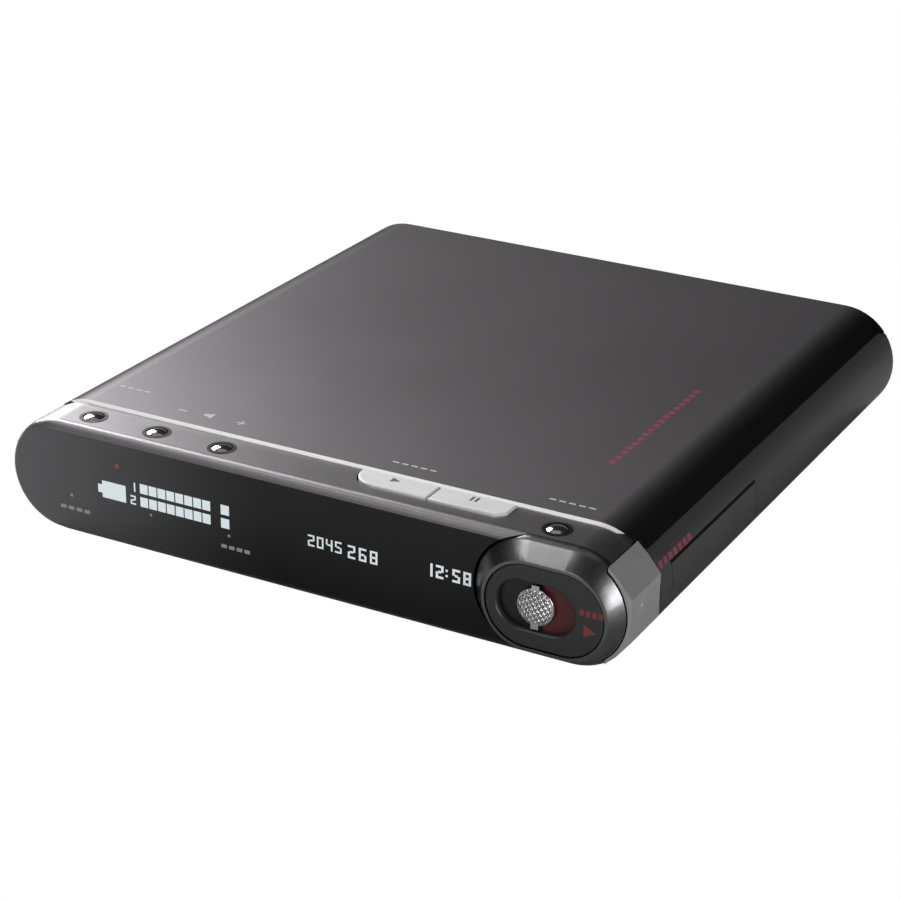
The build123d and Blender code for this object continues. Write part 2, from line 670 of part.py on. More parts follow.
# ---------------------------------------------------------------- mechanism deck and what it carries
deck_top = deck_height + deck_thickness
deck_y = (y_bulkhead + barrel_gap, y_inner_back - deck_back_gap)
outer_track = disc_width / 2 - outer_track_inset
rail_start_x = -(outer_track + sled_width / 2 + lug_width + lug_width)
rail_height = deck_height - rail_drop
rail_ys = (-rail_spread, rail_spread)
sled_bottom = deck_height - sled_drop
sled_top = sled_bottom + sled_height
sled_x = around(-inner_track, sled_width)
lug_z = (rail_height - lug_depth / 2 + rail_fit, deck_height + fit_gap)
opening_x = (rail_start_x + lug_width + seam_gap, rail_end_x - lug_width - seam_gap)
motor_x = (rail_end_x + sled_motor_gap, rail_end_x + sled_motor_gap + sled_motor_length)
with BuildPart() as mechanism_chassis:
    block((deck_inset - half_width, half_width - deck_inset), deck_y, (deck_height, deck_top))
    fillet(mechanism_chassis.edges().filter_by(Axis.Z), deck_round)
    block(opening_x, (-rail_spread - deck_round, lead_screw_y + deck_round), (0, far), Mode.SUBTRACT)
    block((opening_x[1] - seam_gap, motor_x[1] + socket_gap),
          around(lead_screw_y, 2 * (sled_motor_radius + socket_gap)), (0, far), Mode.SUBTRACT)
    rod_z(hub_radius + spindle_radius, 0, 0, (0, far), Mode.SUBTRACT)
    for y in jack_ys:
        block((-far, jack_x[1] + knuckle_gap), around(y, jack_body[1] + 2 * knuckle_gap), (0, far),
              Mode.SUBTRACT)
    block((-far, usb_x[1] + knuckle_gap), around(usb_y, usb_size[1] + 2 * knuckle_gap), (0, far),
          Mode.SUBTRACT)
    for x, y in posts:
        rod_z(screw_radius + head_clearance, x, y, (0, far), Mode.SUBTRACT)
    # lugs for the rails and the far end of the lead screw
    for y in rail_ys:
        for x in (rail_start_x, rail_end_x - lug_width):
            block((x, x + lug_width), around(y, lug_depth), lug_z)
    block((rail_start_x, rail_start_x + lug_width), around(lead_screw_y, lug_depth), lug_z)
    for y in rail_ys:
        rod_x(rail_radius + rail_fit, y, rail_height, (-far, far), Mode.SUBTRACT)
    rod_x(lead_screw_radius + running_clearance, lead_screw_y, rail_height,
          (-far, rail_start_x + 2 * lug_width), Mode.SUBTRACT)
save(mechanism_chassis, "mechanism_chassis")

with BuildPart() as rubber_dampers:
    for x, y in posts:
        rod_z(damper_radius, x, y, (post_top, deck_height))
        rod_z(screw_radius + head_clearance, x, y, (0, far), Mode.SUBTRACT)
save(rubber_dampers, "rubber_dampers")


def screw(x, y, z_head, way):
    """A small cross-head screw seated at z_head, its head upwards (way 1) or downwards (way -1)."""
    top = z_head + way * screw_head_height
    rod_z(screw_head_radius, x, y, (z_head, top)[::way])
    rod_z(screw_radius - rail_fit, x, y, (z_head - way * screw_length, z_head)[::way])
    floor = top - way * screw_cross[1]
    for size in (screw_cross, screw_cross[::-1]):
        block(around(x, size[0]), around(y, size[1]), (floor, top)[::way], Mode.SUBTRACT)


with BuildPart() as chassis_screws:
    for x, y in posts:
        screw(x, y, deck_top + rail_fit, 1)
save(chassis_screws, "chassis_screws")

with BuildPart() as bottom_screws:
    for x, y in posts:
        screw(x, y, screw_head_height + head_clearance - rail_fit, -1)
save(bottom_screws, "bottom_screws")

motor_top = deck_height - fit_gap
with BuildPart() as spindle_motor:
    rod_z(spindle_motor_radius, 0, 0, (motor_top - spindle_motor_height, motor_top))
    fillet(spindle_motor.edges().filter_by(GeomType.CIRCLE), motor_round)
    rod_z(spindle_radius + running_clearance, 0, 0, (0, far), Mode.SUBTRACT)
save(spindle_motor, "spindle_motor")

turntable_z = (deck_top + turntable_gap, deck_top + turntable_gap + turntable_thickness)
hole_circle = (turntable_radius - turntable_rim + hub_radius) / 2
with BuildPart() as turntable:
    rod_z(turntable_radius, 0, 0, turntable_z)
    rod_z(turntable_radius - turntable_rim, 0, 0, (turntable_z[1] - turntable_dish, far), Mode.SUBTRACT)
    rod_z(hub_radius, 0, 0, (turntable_z[0], turntable_z[1] + hub_rise))
    rod_z(spindle_radius, 0, 0, (motor_top - spindle_motor_height + running_clearance, turntable_z[0]))
    with PolarLocations(hole_circle, 3):
        Cylinder(turntable_hole, far, mode=Mode.SUBTRACT)
save(turntable, "turntable")

with BuildPart() as guide_rails:
    for y in rail_ys:
        rod_x(rail_radius, y, rail_height, (rail_start_x, rail_end_x))
save(guide_rails, "guide_rails")

screw_x = (rail_start_x + seam_gap, motor_x[0] + motor_socket)
groove_xs = [rail_start_x + 2 * lug_width + lead_screw_pitch / 2 * i
             for i in range(int((motor_x[0] - rail_start_x - 3 * lug_width) / (lead_screw_pitch / 2)) + 1)]
with BuildPart() as lead_screw:
    rod_x(lead_screw_radius, lead_screw_y, rail_height, screw_x)
    for x in groove_xs:
        with Locations(Plane(origin=(x, lead_screw_y, rail_height), z_dir=(1, 0, 0))):
            Torus(lead_screw_radius + thread_depth, 2 * thread_depth, mode=Mode.SUBTRACT)
save(lead_screw, "lead_screw")

with BuildPart() as sled_motor:
    rod_x(sled_motor_radius, lead_screw_y, rail_height, motor_x)
    fillet(sled_motor.edges().filter_by(GeomType.CIRCLE), motor_round)
    rod_x(lead_screw_radius + running_clearance, lead_screw_y, rail_height,
          (motor_x[0] - lug_width, screw_x[1] + motor_round), Mode.SUBTRACT)
save(sled_motor, "sled_motor")

with BuildPart() as optical_pickup:
    block(sled_x, around(0, 2 * sled_half_depth), (sled_bottom, sled_top))
    fillet(optical_pickup.edges().filter_by(Axis.Z), sled_round)
    arm_x = (sled_x[0] + sled_round, sled_x[1] - sled_round)
    for side in (-1, 1):
        arm_y = (side * (sled_half_depth - sled_round), side * (rail_spread + lug_width))
        block(arm_x, arm_y[::side], around(rail_height, sled_arm[0]))
    block(around(-inner_track, nut_width), (rail_spread, lead_screw_y + nut_half),
          around(rail_height, sled_arm[1]))
    for y in rail_ys:
        rod_x(rail_radius + running_clearance, y, rail_height, (-far, far), Mode.SUBTRACT)
    rod_x(lead_screw_radius + running_clearance, lead_screw_y, rail_height, (-far, far), Mode.SUBTRACT)
save(optical_pickup, "optical_pickup")

with BuildPart() as objective_lens:
    rod_z(lens_radius, -inner_track, 0, (sled_top, sled_top + lens_height))
    fillet(objective_lens.faces().sort_by(Axis.Z)[-1].edges(), motor_round)
save(objective_lens, "objective_lens")

# ---------------------------------------------------------------- sockets
for name, y in zip(jack_names, jack_ys):
    with BuildPart() as jack:
        block(jack_x, around(y, jack_body[1]), (board_top, board_top + jack_body[2]))
        rod_x(jack_nose_radius, y, jack_height, (jack_mouth_x, jack_x[0]))
        rod_x(jack_bore_radius, y, jack_height, (-far, jack_x[1] - jack_end_wall), Mode.SUBTRACT)
    save(jack, name)

with BuildPart() as usb_port:
    block(usb_x, around(usb_y, usb_size[1]), usb_z)
    block((-far, usb_x[1] - usb_wall), around(usb_y, usb_size[1] - 2 * usb_wall),
          (usb_z[0] + usb_wall, usb_z[1] - usb_wall), Mode.SUBTRACT)
    block((usb_x[1] - usb_tongue[0], usb_x[1]), around(usb_y, usb_tongue[1]),
          around(sum(usb_z) / 2, usb_tongue[2]))
save(usb_port, "usb_port")

# ---------------------------------------------------------------- disc holder
holder_half = disc_width / 2 + disc_clearance
holder_start = y_lid_front + holder_front_gap
holder_y = (holder_start, holder_start + disc_length + 2 * disc_clearance)
ear_x = knuckle_x + knuckle_width + knuckle_gap
ear_z = (hinge_height - swing_radius - barrel_gap, hinge_height - knuckle_gap)
with BuildPart() as disc_holder:
    block((-holder_half - holder_sheet, holder_half + holder_sheet),
          (holder_y[0], holder_y[1] + holder_sheet), (bay_floor, holder_top + holder_sheet))
    block((-holder_half, holder_half), (-far, holder_y[1]), (bay_floor + holder_sheet, holder_top),
          Mode.SUBTRACT)
    block((-holder_half + holder_flange, holder_half - holder_flange), (-far, holder_y[1] - holder_stop),
          (0, mid_height + holder_sheet), Mode.SUBTRACT)
    # windows in the top sheet, for the recording head and for lightness
    block((window_edge - disc_width / 2, -window_edge), around(0, holder_window[0]),
          (holder_top - seam_gap, far), Mode.SUBTRACT)
    block((window_edge, disc_width / 2 - window_edge), around(0, holder_window[1]),
          (holder_top - seam_gap, far), Mode.SUBTRACT)
    # finger notch in the front edge
    rod_z(finger_radius, 0, holder_y[0], (holder_top - seam_gap, far), Mode.SUBTRACT)
    # ears back to the hinge pins
    for side in (-1, 1):
        ear = (side * ear_x, side * (ear_x + ear_width))[::side]
        block(ear, (holder_y[1], y_hinge), ear_z)
        block(ear, (holder_y[1], holder_y[1] + ear_depth), (mid_height + knuckle_width, ear_z[1]))
        rod_x(fixed_barrel, y_hinge, hinge_height, ear)
        rod_x(pin_radius + pin_clearance, y_hinge, hinge_height, ear, Mode.SUBTRACT)
save(disc_holder, "disc_holder")

spring_z = holder_top + holder_sheet + rail_fit
with BuildPart() as holder_springs:
    for side in (-1, 1):
        for y in (holder_y[0] + spring_inset, holder_y[1] - spring_inset):
            block(around(side * (holder_half - holder_flange), spring_size[0]),
                  around(y, spring_size[1]), (spring_z, spring_z + spring_size[2]))
save(holder_springs, "holder_springs")

# ---------------------------------------------------------------- lid and its hinge
lid_pin_x = ear_x + ear_width + knuckle_gap
lid_relief_x = holder_half + holder_sheet + holder_lid_gap
with BuildPart() as lid_bar:
    bar(body_width, body_height, mid_height, (y_lid_front, y_back))
    back_rim = lid_bar.faces().sort_by(Axis.Y)[-1].edges()
    front_rim = lid_bar.faces().sort_by(Axis.Y)[0].edges()
    fillet(back_rim, back_round)
    chamfer(front_rim, lid_front_chamfer)
with BuildPart() as barrel:
    rod_x(barrel_radius, y_hinge, hinge_height, (-half_width, half_width))
    add(lid_bar.part, mode=Mode.INTERSECT)
with BuildPart() as top_lid:
    add(lid_bar.part)
    bar(body_width - 2 * lid_wall, body_height - 2 * lid_wall, mid_height,
        (y_lid_front + lid_wall, y_back - lid_wall), Mode.SUBTRACT)
    block((-far, far), (-far, y_hinge), (-far, parting_height + seam_gap), Mode.SUBTRACT)
    block((-far, far), (-far, far), (-far, hinge_height - barrel_radius), Mode.SUBTRACT)
    block((-far, far), (y_hinge - swing_radius, y_hinge), (-far, hinge_height), Mode.SUBTRACT)
    # the back edge rolls under into the hinge barrel
    block((-far, far), (y_hinge, far), (-far, hinge_height), Mode.SUBTRACT)
    add(barrel.part)
    # room for the fixed shoulders, the shell knuckles and the holder's ears
    for side in (-1, 1):
        block((side * (x_shoulder - seam_gap), side * far)[::side],
              (-far, shoulder_backs[side] + seam_gap), (-far, far), Mode.SUBTRACT)
        gap_x = (side * (knuckle_x - knuckle_gap), side * lid_pin_x)[::side]
        rod_x(swing_radius, y_hinge, hinge_height, gap_x, Mode.SUBTRACT)
        hole_x = (side * (knuckle_x - pin_overlap - barrel_gap), side * (lid_pin_x + lid_knuckle_width))
        rod_x(pin_radius + pin_clearance, y_hinge, hinge_height, hole_x[::side], Mode.SUBTRACT)
    # front wall cut short over the holder, with a latch tongue hanging from each end of it
    block((-lid_relief_x, lid_relief_x), (-far, y_lid_front + 2 * lid_wall),
          (-far, holder_top + holder_sheet + holder_lid_gap), Mode.SUBTRACT)
    for side in (-1, 1):
        block(around(side * (half_width - latch_inset), latch_size[0]),
              (y_lid_front + fit_gap, y_lid_front + fit_gap + latch_size[1]),
              (parting_height - latch_size[2], lid_inner_height + seam_gap))
save(top_lid, "top_lid")

with BuildPart() as hinge_pins:
    for side in (-1, 1):
        pin_x = (side * (knuckle_x - pin_overlap), side * (lid_pin_x + lid_knuckle_width - barrel_gap))
        rod_x(pin_radius, y_hinge, hinge_height, pin_x[::side])
save(hinge_pins, "hinge_pins")

with BuildPart() as lid_liner:
    block((liner_inset - half_width, half_width - liner_inset),
          (y_lid_front + lid_wall + liner_gap, y_hinge - swing_radius - liner_gap),
          (lid_inner_height - rail_fit - liner_thickness, lid_inner_height - rail_fit))
    fillet(lid_liner.edges().filter_by(Axis.Z), liner_round)
save(lid_liner, "lid_liner")
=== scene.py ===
# %% [markdown]
# # A pocket disc recorder, dressed
# The recorder comes into this file as a fixed frame: every solid of its construction is already in
# place, at its real size, in metres. What is left to make is what the eye reads: the finish of each
# surface, the marks, the domes and knurls that are too fine for the construction, and a quiet studio.
# All sizes below are in millimetres, and the helper `MM` turns them into metres at the last moment.

# %% The frame
import json
import math

import bmesh
import bpy
import numpy as np
from mathutils import Matrix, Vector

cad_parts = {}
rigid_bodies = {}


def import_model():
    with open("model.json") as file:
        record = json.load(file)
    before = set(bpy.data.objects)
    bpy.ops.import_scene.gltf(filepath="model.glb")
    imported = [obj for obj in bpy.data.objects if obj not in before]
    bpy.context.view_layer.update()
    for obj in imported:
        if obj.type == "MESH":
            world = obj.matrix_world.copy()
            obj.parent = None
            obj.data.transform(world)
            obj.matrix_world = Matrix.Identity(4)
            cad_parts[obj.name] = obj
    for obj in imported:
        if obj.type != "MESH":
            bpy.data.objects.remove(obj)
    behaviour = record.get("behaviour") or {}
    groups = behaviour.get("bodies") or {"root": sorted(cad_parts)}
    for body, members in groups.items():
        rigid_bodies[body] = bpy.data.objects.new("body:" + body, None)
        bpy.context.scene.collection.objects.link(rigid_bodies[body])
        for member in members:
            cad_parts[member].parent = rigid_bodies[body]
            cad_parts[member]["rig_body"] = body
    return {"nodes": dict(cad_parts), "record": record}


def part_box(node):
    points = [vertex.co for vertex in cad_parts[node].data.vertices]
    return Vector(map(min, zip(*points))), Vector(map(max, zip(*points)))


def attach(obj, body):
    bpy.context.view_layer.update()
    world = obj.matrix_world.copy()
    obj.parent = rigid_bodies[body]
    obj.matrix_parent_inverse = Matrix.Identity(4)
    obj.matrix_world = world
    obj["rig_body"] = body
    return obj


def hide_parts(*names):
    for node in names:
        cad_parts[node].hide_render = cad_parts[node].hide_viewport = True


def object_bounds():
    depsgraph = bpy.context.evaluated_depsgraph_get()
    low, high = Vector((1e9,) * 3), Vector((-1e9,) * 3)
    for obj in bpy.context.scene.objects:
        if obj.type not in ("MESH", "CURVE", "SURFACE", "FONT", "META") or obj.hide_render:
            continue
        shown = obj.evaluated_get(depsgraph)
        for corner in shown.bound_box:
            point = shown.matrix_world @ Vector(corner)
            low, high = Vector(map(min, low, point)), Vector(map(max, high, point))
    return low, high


MM = 0.001
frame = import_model()
cad_low, cad_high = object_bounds()
nodes = frame["nodes"]
slots = {part["node"]: part["material_slot"] for part in frame["record"]["subparts"]}


def span(node):
    """Lowest and highest corner of one node, in millimetres."""
    low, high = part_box(node)
    return np.array(low) / MM, np.array(high) / MM


# %% [markdown]
# ## Where the eye stands
# The camera looks down on the front right corner through a long lens, so that parallel edges stay
# nearly parallel. Its direction is given the way a photographer would say it: how far round, how far
# up, and a slight roll of the hand.

# %% The camera
AZIMUTH = math.radians(28.218)
ELEVATION = math.radians(23.879)
ROLL = math.radians(0.785)
CAMERA_PLACE = np.array([127.464, -243.916, 124.067])
LENS = 94.71

forward = np.array([-math.sin(AZIMUTH) * math.cos(ELEVATION),
                    math.cos(AZIMUTH) * math.cos(ELEVATION), -math.sin(ELEVATION)])
level_right = np.cross(forward, [0, 0, 1])
level_right /= np.linalg.norm(level_right)
level_up = np.cross(level_right, forward)
right = math.cos(ROLL) * level_right + math.sin(ROLL) * level_up
up = math.cos(ROLL) * level_up - math.sin(ROLL) * level_right

camera_data = bpy.data.cameras.new("camera")
camera_data.lens = LENS
camera_data.clip_start = 0.01
camera = bpy.data.objects.new("camera", camera_data)
bpy.context.scene.collection.objects.link(camera)
turn = Matrix([[right[i], up[i], -forward[i]] for i in range(3)]).to_4x4()
camera.matrix_world = Matrix.Translation(CAMERA_PLACE * MM) @ turn
bpy.context.scene.camera = camera
bpy.context.scene.view_settings.view_transform = "Standard"
print("camera at", CAMERA_PLACE, "mm, lens", LENS, "mm")

# %% [markdown]
# ## Surfaces from numbers
# A piece is a grid of points worked out in one go, never vertex by vertex. `skin` joins a grid into
# quads. `slab` gives flat marks their thickness. `make` turns the result into an object, and
# turns it right side out by the sign of its volume.

# %% Grids into meshes
def skin(grid, caps=True):
    """Quads between neighbouring rings of a grid (ring, point, xyz), each ring closed on itself.

    Face (i, j) joins points (i, j), (i, j+1), (i+1, j+1) and (i+1, j), with j counted round the ring.
    With caps, the first and last ring are each closed by one face.
    """
    rings, count = grid.shape[:2]
    index = np.arange(rings * count).reshape(rings, count)
    after = np.roll(index, -1, axis=1)
    quads = np.stack([index[:-1], after[:-1], after[1:], index[1:]], axis=-1).reshape(-1, 4)
    faces = quads.tolist()
    if caps:
        faces += [index[0, ::-1].tolist(), index[-1].tolist()]
    return grid.reshape(-1, 3), faces


def slab(outlines, place, rise, sink=0.05):
    """Thin plates over flat outlines, each an array of (u, v) points laid out by place(u, v, height).

    Each plate has its top at height rise, its bottom at -sink, and walls between.
    """
    points, faces = [], []
    start = 0
    for outline in outlines:
        u, v = np.asarray(outline, float).T
        grid = np.stack([place(u, v, -sink), place(u, v, rise)])
        ring_points, ring_faces = skin(grid)
        points.append(ring_points)
        faces += [[start + k for k in face] for face in ring_faces]
        start += len(ring_points)
    return np.concatenate(points), faces


def signed_volume(mesh):
    """Sum over triangles of a . (b x c) / 6, positive where the faces point outwards."""
    mesh.calc_loop_triangles()
    corners = np.empty(len(mesh.loop_triangles) * 3, np.int32)
    mesh.loop_triangles.foreach_get("vertices", corners)
    co = np.empty(len(mesh.vertices) * 3)
    mesh.vertices.foreach_get("co", co)
    a, b, c = co.reshape(-1, 3)[corners.reshape(-1, 3)].transpose(1, 0, 2)
    return np.einsum("ij,ij->i", a, np.cross(b, c)).sum() / 6


def make(name, points, faces, body, slot, smooth=True, sharp=35):
    """One object from points in millimetres, riding on a body, with its faces turned outwards."""
    mesh = bpy.data.meshes.new(name)
    mesh.from_pydata((np.asarray(points) * MM).tolist(), [], faces)
    if signed_volume(mesh) < 0:
        mesh.flip_normals()
    mesh.polygons.foreach_set("use_smooth", np.full(len(mesh.polygons), smooth))
    if smooth:
        mesh.set_sharp_from_angle(angle=math.radians(sharp))
    piece = bpy.data.objects.new(name, mesh)
    bpy.context.scene.collection.objects.link(piece)
    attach(piece, body)
    return piece


def lathe(profile, centre, axis="z", steps=48):
    """A turned piece: each (radius, height) of the profile becomes a ring about the centre's axis."""
    radius, height = np.asarray(profile, float).T
    angle = np.linspace(0, 2 * np.pi, steps, endpoint=False)
    across = radius[:, None] * np.cos(angle)
    along = radius[:, None] * np.sin(angle)
    up_axis = np.broadcast_to(height[:, None], across.shape)
    order = {"z": (across, along, up_axis), "y": (across, up_axis, along), "x": (up_axis, across, along)}
    return skin(np.stack(order[axis], axis=-1) + np.asarray(centre))


print("mesh helpers ready")

# %% [markdown]
# ## Shader maths as plain sums
# A material is a sum like any other: `dark + grain * 0.1`. The small class `Wire` holds an output
# socket and answers to + - * / and the comparisons that make masks. `Paint.node` makes every other
# kind of node: settings first, then the values or wires of its sockets.

# %% Wires and paint
class Wire:
    """One output socket of a material that can be used in sums."""

    def __init__(self, paint, socket):
        self.paint = paint
        self.socket = socket

    def math(self, operation, *others, swap=False):
        values = [self, *others]
        if swap:
            values.reverse()
        return self.paint.node("ShaderNodeMath", {"operation": operation}, dict(enumerate(values)))

    def __add__(self, other):
        return self.math("ADD", other)

    def __sub__(self, other):
        return self.math("SUBTRACT", other)

    def __rsub__(self, other):
        return self.math("SUBTRACT", other, swap=True)

    def __mul__(self, other):
        return self.math("MULTIPLY", other)

    def __abs__(self):
        return self.math("ABSOLUTE")

    def __pow__(self, other):
        return self.math("POWER", other)

    def __lt__(self, other):
        return self.math("LESS_THAN", other)

    def __gt__(self, other):
        return self.math("GREATER_THAN", other)

    def smooth(self, low, high):
        """0 below low, 1 above high, and an even S between them."""
        return self.paint.node("ShaderNodeMapRange", {"interpolation_type": "SMOOTHSTEP"},
                               {"Value": self, "From Min": low, "From Max": high})

    def either(self, other):
        """The larger of two masks."""
        return self.math("MAXIMUM", other)

    __radd__ = __add__
    __rmul__ = __mul__


class Paint:
    """One material under way: its node tree, and the wires that its sums run on."""

    def __init__(self, name):
        self.material = bpy.data.materials.new(name)
        self.material.use_nodes = True
        self.tree = self.material.node_tree
        self.tree.nodes.clear()
        self.place = self.node("ShaderNodeTexCoord", out="Object")
        self.x, self.y, self.z = self.split(self.place)

    def node(self, kind, settings=(), sockets=(), out=0):
        node = self.tree.nodes.new(kind)
        for key, value in dict(settings).items():
            setattr(node, key, value)
        for key, value in dict(sockets).items():
            if isinstance(value, Wire):
                self.tree.links.new(value.socket, node.inputs[key])
            else:
                node.inputs[key].default_value = value
        return Wire(self, node.outputs[out]) if out is not None else None

    def split(self, vector):
        """The three parts of a place, in millimetres."""
        parts = self.node("ShaderNodeSeparateXYZ", (), {"Vector": vector}).socket.node
        return [Wire(self, parts.outputs[i]) * (1 / MM) for i in range(3)]

    def stretched(self, factors):
        """The object's own place, pressed or stretched along each axis."""
        return self.node("ShaderNodeVectorMath", {"operation": "MULTIPLY"},
                         {0: self.place, 1: factors})

    def noise(self, size, detail=2.0, roughness=0.5, along=None):
        """Noise from 0 to 1 with features of the given size in millimetres."""
        vector = self.stretched(along) if along else self.place
        return self.node("ShaderNodeTexNoise", (),
                         {"Vector": vector, "Scale": 1 / (size * MM), "Detail": detail,
                          "Roughness": roughness})

    def cells(self, size, feature="F1"):
        """Distance from the centres, or from the walls, of cells of the given size."""
        return self.node("ShaderNodeTexVoronoi", {"feature": feature},
                         {"Vector": self.place, "Scale": 1 / (size * MM)})

    def mix(self, share, first, second):
        """A colour between two, by share."""
        return self.node("ShaderNodeMix", {"data_type": "RGBA"}, {0: share, 6: first, 7: second}, out=2)

    def shade(self, base, factor):
        """A plain colour made lighter or darker by a factor that changes over the surface."""
        dark = tuple(0.35 * c for c in base) + (1.0,)
        light = tuple(min(1.65 * c, 1.0) for c in base) + (1.0,)
        return self.mix(factor, dark, light)

    def bump(self, height, depth):
        """A normal pushed by a height from 0 to 1, worth depth millimetres."""
        return self.node("ShaderNodeBump", (), {"Height": height, "Distance": depth * MM})

    def surface(self, base, rough, metallic=0.0, normal=None, extra=()):
        """The one shader of the material; extra sockets are plain values."""
        sockets = {"Base Color": base, "Roughness": rough, "Metallic": metallic}
        if normal is not None:
            sockets["Normal"] = normal
        sockets.update(dict(extra))
        return self.finish(self.node("ShaderNodeBsdfPrincipled", (), sockets, out="BSDF"))

    def seen_white(self, shader):
        """The shader for light that falls on it, and plain white for the eye that looks at it."""
        white = self.node("ShaderNodeEmission", (), {"Color": (1, 1, 1, 1), "Strength": 1.0})
        eye = self.node("ShaderNodeLightPath", out="Is Camera Ray")
        return self.node("ShaderNodeMixShader", (), {0: eye, 1: shader, 2: white})

    def finish(self, shader):
        """The shader joined to the material's output."""
        self.node("ShaderNodeOutputMaterial", (), {"Surface": shader}, out=None)
        return self.material


print("shader helpers ready")

# %% [markdown]
# ## The room
# The recorder stands on a grey table that looks white to the eye. A tall panel at the far left is
# what the satin lid mirrors, so the lid is light at its near left corner and falls away to dark at
# the right. A lamp at the right lifts the dark side, two weak ones from the front and the upper front
# draw the pod's roundings, and one overhead fills the rest.

# %% Table and lamps
TABLE_HALF = 2500.0
TABLE_DROP = 0.05       # so that the underside and the table never share a plane


def table_top():
    corners = np.array([[-1, -1, 0], [1, -1, 0], [1, 1, 0], [-1, 1, 0]]) * TABLE_HALF
    corners[:, 2] = -TABLE_DROP
    mesh = bpy.data.meshes.new("table")
    mesh.from_pydata((corners * MM).tolist(), [], [[0, 1, 2, 3]])
    table = bpy.data.objects.new("table", mesh)
    bpy.context.scene.collection.objects.link(table)
    paint = Paint("pale_table")
    tone = paint.noise(90.0, 3.0)
    matt = paint.node("ShaderNodeBsdfDiffuse", (), {"Color": paint.mix(tone, (0.5, 0.5, 0.5, 1),
                                                                     (0.54, 0.54, 0.54, 1))}, out="BSDF")
    mesh.materials.append(paint.finish(paint.seen_white(matt)))


def lamp(name, place, size, power, target=(0, 0, 7)):
    """A soft square lamp, in millimetres, turned to face the target."""
    data = bpy.data.lights.new(name, "AREA")
    data.shape = "RECTANGLE"
    data.size, data.size_y = size[0] * MM, size[1] * MM
    data.energy = power
    light = bpy.data.objects.new(name, data)
    bpy.context.scene.collection.objects.link(light)
    away = np.array(place, float) - np.array(target, float)
    sight = away / np.linalg.norm(away)
    across = np.cross([0, 0, 1], sight)
    across /= np.linalg.norm(across)
    over = np.cross(sight, across)
    turned = Matrix([[across[i], over[i], sight[i]] for i in range(3)]).to_4x4()
    light.matrix_world = Matrix.Translation(np.array(place) * MM) @ turned


def world(strength):
    """A dim even room for the light, and white for the eye."""
    room = bpy.data.worlds.new("room")
    bpy.context.scene.world = room
    room.use_nodes = True
    tree = room.node_tree
    dim = tree.nodes["Background"]
    dim.inputs["Color"].default_value = (1, 1, 1, 1)
    dim.inputs["Strength"].default_value = strength
    white = tree.nodes.new("ShaderNodeBackground")
    white.inputs["Color"].default_value = (1, 1, 1, 1)
    path = tree.nodes.new("ShaderNodeLightPath")
    choice = tree.nodes.new("ShaderNodeMixShader")
    tree.links.new(path.outputs["Is Camera Ray"], choice.inputs[0])
    tree.links.new(dim.outputs[0], choice.inputs[1])
    tree.links.new(white.outputs[0], choice.inputs[2])
    tree.links.new(choice.outputs[0], tree.nodes["World Output"].inputs["Surface"])


table_top()
world(0.03)
lamp("left_back", (-480, 250, 300), (300, 400), 5.9)
lamp("overhead", (-60, -20, 620), (520, 520), 0.25)
lamp("front", (-120, -560, 260), (300, 200), 0.7)
lamp("right", (520, -260, 160), (160, 300), 1.8)
lamp("upper_front", (-250, -240, 450), (140, 140), 0.5)
print("room ready")

# %% [markdown]
# ## Finishes
# Each finish is a short function that returns a material. Every one has something that changes over
# the surface: the fine frost of anodising, the drawn lines of brushed metal, the skin of moulded
# plastic. The sizes of these patterns are those of the real processes, a few hundredths to a few
# tenths of a millimetre.

# %% Metals
def brushed(name, colour, rough, direction=(0.03, 1, 1), grain=0.16, depth=0.004, metallic=1.0):
    """Metal drawn over an abrasive: noise pressed long in one direction."""
    paint = Paint(name)
    lines = paint.noise(grain, 4.0, 0.65, along=direction)
    cloud = paint.noise(9.0, 2.0)
    base = paint.shade(colour, lines * 0.5 + 0.15)
    return paint.surface(base, rough + lines * 0.12 + cloud * 0.06, metallic, paint.bump(lines, depth))


def polished(name, colour, rough=0.08):
    """Chrome plate: nearly smooth, with the slightest orange peel."""
    paint = Paint(name)
    peel = paint.noise(0.5, 2.0)
    base = paint.shade(colour, peel * 0.2 + 0.35)
    return paint.surface(base, rough + peel * 0.05, 1.0, paint.bump(peel, 0.003))


def cast_satin(name, colour, rough=0.34, metallic=1.0):
    """Blasted and plated zinc: an even fine pitting."""
    paint = Paint(name)
    pits = paint.noise(0.09, 3.0, 0.7)
    cloud = paint.noise(3.0, 2.0)
    base = paint.shade(colour, pits * 0.35 + cloud * 0.2 + 0.12)
    return paint.surface(base, rough + pits * 0.12, metallic, paint.bump(pits, 0.004))


print("metal finishes ready")


# %% Plastics and glass
def moulded(name, colour, rough=0.45, pore=0.18, depth=0.008):
    """Spark-eroded mould skin: small soft cells, a little glossier on their tops."""
    paint = Paint(name)
    pores = paint.noise(pore, 3.0, 0.55)
    cloud = paint.noise(14.0, 2.0)
    base = paint.shade(colour, pores * 0.3 + cloud * 0.25 + 0.12)
    return paint.surface(base, rough + pores * 0.14 - cloud * 0.06, 0.0, paint.bump(pores, depth))


def gloss(name, colour, rough=0.1):
    """Polished plastic with the faintest ripple."""
    paint = Paint(name)
    ripple = paint.noise(3.5, 2.0)
    base = paint.shade(colour, ripple * 0.3 + 0.25)
    return paint.surface(base, rough + ripple * 0.04, 0.0, paint.bump(ripple, 0.004))


def ink(name, colour, strength=0.0):
    """A printed or lit mark: its ink is a little uneven."""
    paint = Paint(name)
    grain = paint.noise(0.15, 2.0)
    base = paint.shade(colour, grain * 0.3 + 0.3)
    return paint.surface(base, 0.5 + grain * 0.1, 0.0, None,
                         {"Emission Color": base, "Emission Strength": strength})


print("plastic finishes ready")
